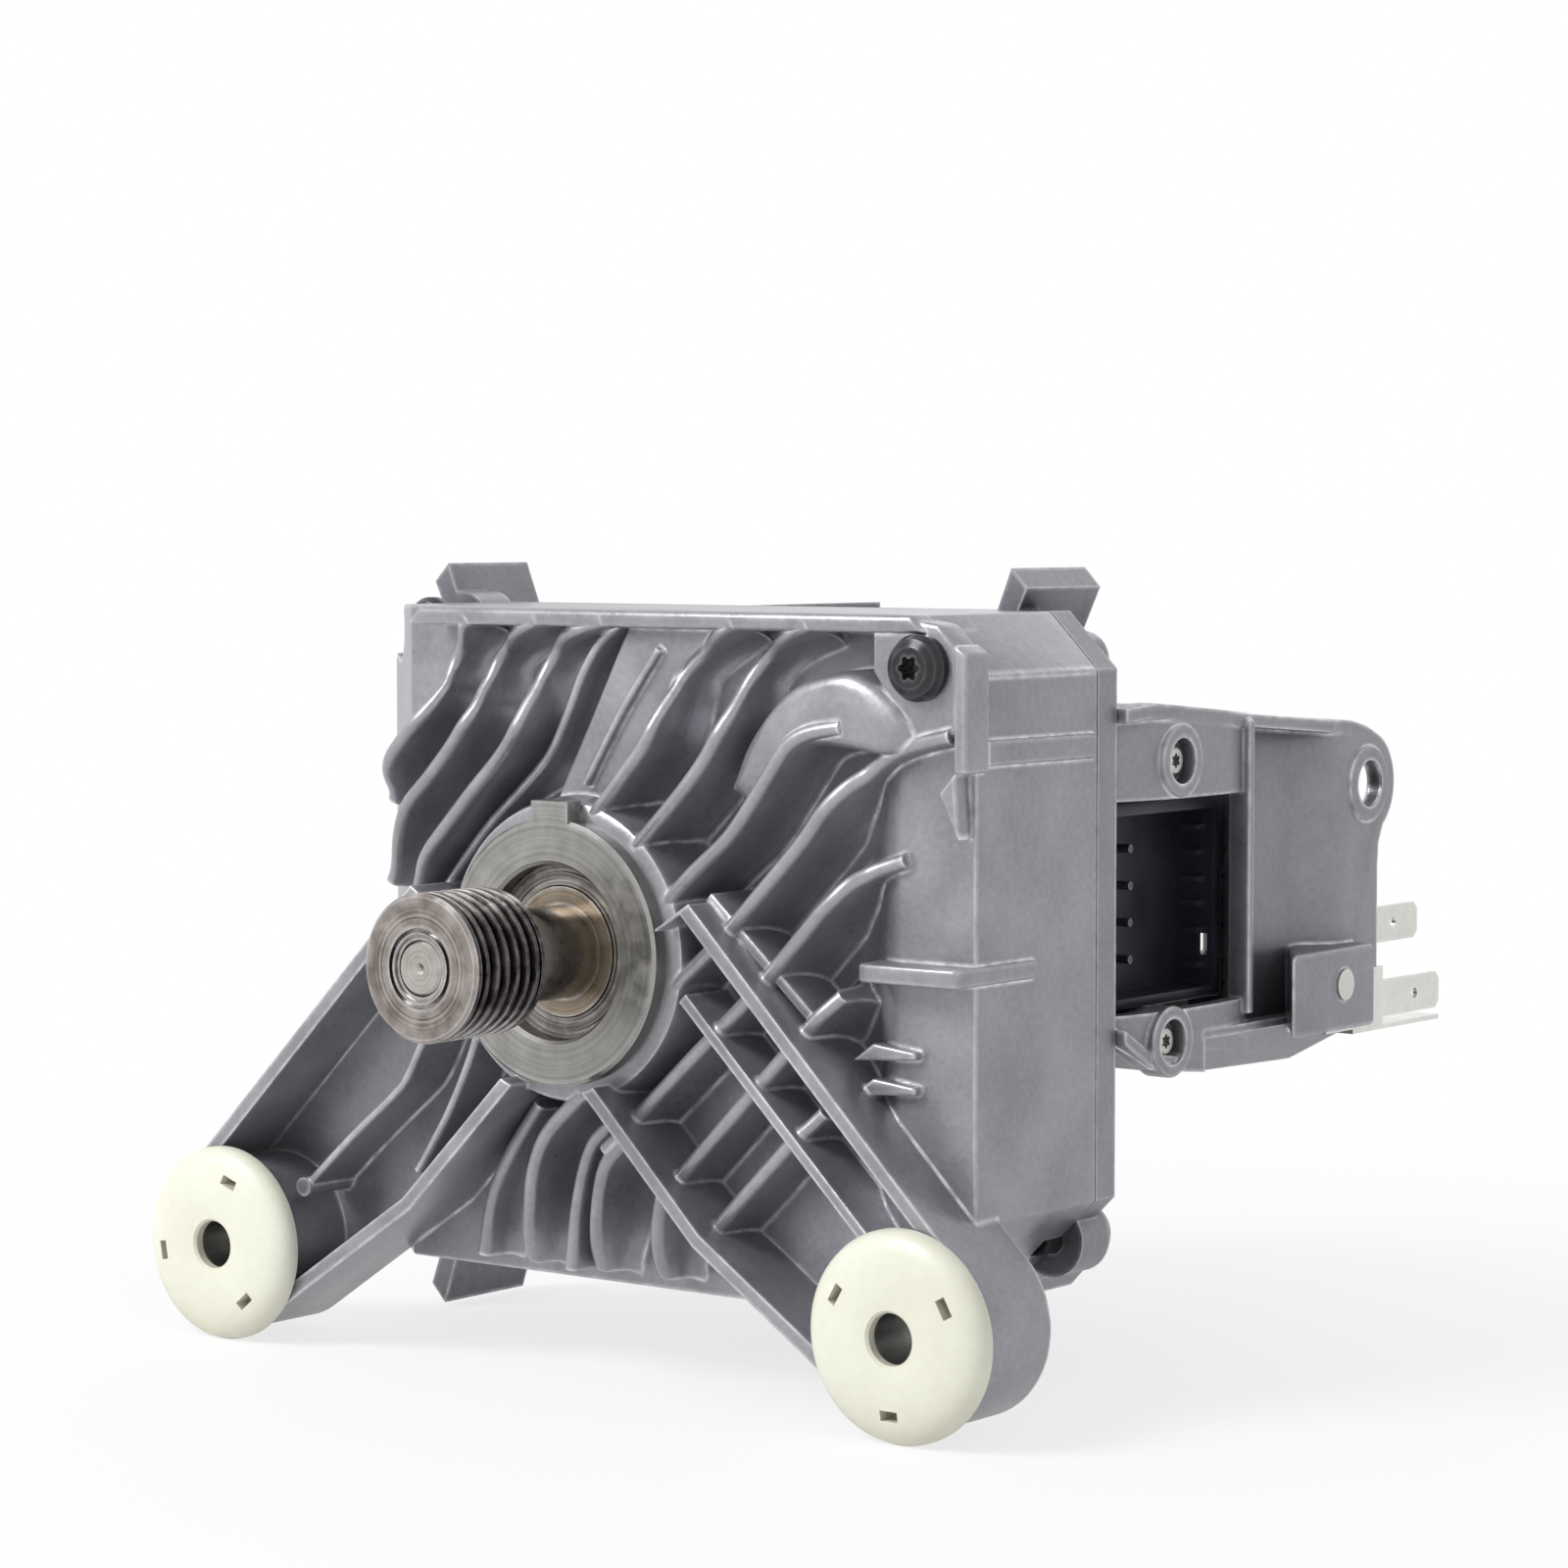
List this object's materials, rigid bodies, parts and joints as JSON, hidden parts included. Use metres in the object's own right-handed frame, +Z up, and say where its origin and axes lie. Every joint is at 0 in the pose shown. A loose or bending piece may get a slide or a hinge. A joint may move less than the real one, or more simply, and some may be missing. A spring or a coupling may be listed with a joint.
{
  "type": "washing machine motor",
  "caption": "Finned die-cast drive motor with two bushed mounting arms below, a ribbed belt pulley on the front and a terminal bracket at the side.",
  "frame": {"origin": "centre of the bearing sleeve's front face, on the shaft axis", "axes": "+Y along the shaft towards the rear cap, so the pulley points to -Y; +Z up, away from the bushes; +X towards the terminal bracket"},
  "size_m": [0.1744, 0.1769, 0.1313],
  "materials": {
    "cast_aluminium": "die-cast, dull, with bright worn crests",
    "nickel_steel": "machined and nickel plated, pale",
    "black_oxide": "black oxide, slightly glossy",
    "zinc_steel": "bright zinc",
    "dark_plastic": "moulded, blue-black",
    "tinned_brass": "tin plated",
    "cream_plastic": "moulded, cream",
    "ground_steel": "ground",
    "turned_steel": "turned, polished by the belt",
    "electrical_steel": "stacked laminations, varnished",
    "ferrite": "ground ferrite",
    "bearing_steel": "ground and polished",
    "cage_brass": "pressed",
    "seal_rubber": "moulded",
    "ivory_plastic": "moulded",
    "copper_wire": "enamelled wire",
    "lead_rubber": "silicone sleeve",
    "board_green": "solder mask"
  },
  "bodies": {
    "casing_body": {"front_shield": "cast_aluminium", "bearing_sleeve": "nickel_steel", "rear_housing": "cast_aluminium", "rear_cap": "cast_aluminium", "rear_cap_screws": "black_oxide", "shield_screws": "black_oxide", "terminal_bracket": "cast_aluminium", "bracket_screws": "zinc_steel", "connector_block": "dark_plastic", "connector_pins": "tinned_brass", "upper_blade": "tinned_brass", "earth_tab": "tinned_brass", "earth_rivet": "zinc_steel", "left_bush": "cream_plastic", "left_bush_sleeve": "zinc_steel", "right_bush": "cream_plastic", "right_bush_sleeve": "zinc_steel", "front_outer_ring": "bearing_steel", "front_seals": "seal_rubber", "front_retaining_ring": "black_oxide", "rear_outer_ring": "bearing_steel", "rear_seals": "seal_rubber", "wave_washer": "zinc_steel", "stator_core": "electrical_steel", "front_insulator": "ivory_plastic", "rear_insulator": "ivory_plastic", "stator_coils": "copper_wire", "winding_leads": "lead_rubber", "lead_grommet": "seal_rubber", "sensor_board": "board_green", "thermal_protector": "dark_plastic"},
    "rotor_body": {"shaft": "ground_steel", "pulley": "turned_steel", "rotor_core": "electrical_steel", "rotor_magnets": "ferrite", "rotor_end_plates": "zinc_steel", "sensor_magnet": "ferrite", "shaft_circlip": "black_oxide", "front_inner_ring": "bearing_steel", "rear_inner_ring": "bearing_steel"},
    "front_cage_body": {"front_cage": "cage_brass", "front_balls": "bearing_steel"},
    "rear_cage_body": {"rear_cage": "cage_brass", "rear_balls": "bearing_steel"}
  },
  "joints": [
    {"name": "rotor_spin", "type": "hinge", "parent": "casing_body", "child": "rotor_body", "pos_m": [0, 0, 0], "axis": [0, 1, 0], "continuous": true},
    {"name": "front_cage_spin", "type": "hinge", "parent": "casing_body", "child": "front_cage_body", "pos_m": [0, 0.0085, 0], "axis": [0, 1, 0], "continuous": true},
    {"name": "rear_cage_spin", "type": "hinge", "parent": "casing_body", "child": "rear_cage_body", "pos_m": [0, 0.0978, 0], "axis": [0, 1, 0], "continuous": true}
  ],
  "couplings": [
    {"joint": "front_cage_spin", "follows": "rotor_spin", "ratio": 0.3812},
    {"joint": "rear_cage_spin", "follows": "rotor_spin", "ratio": 0.365}
  ]
}
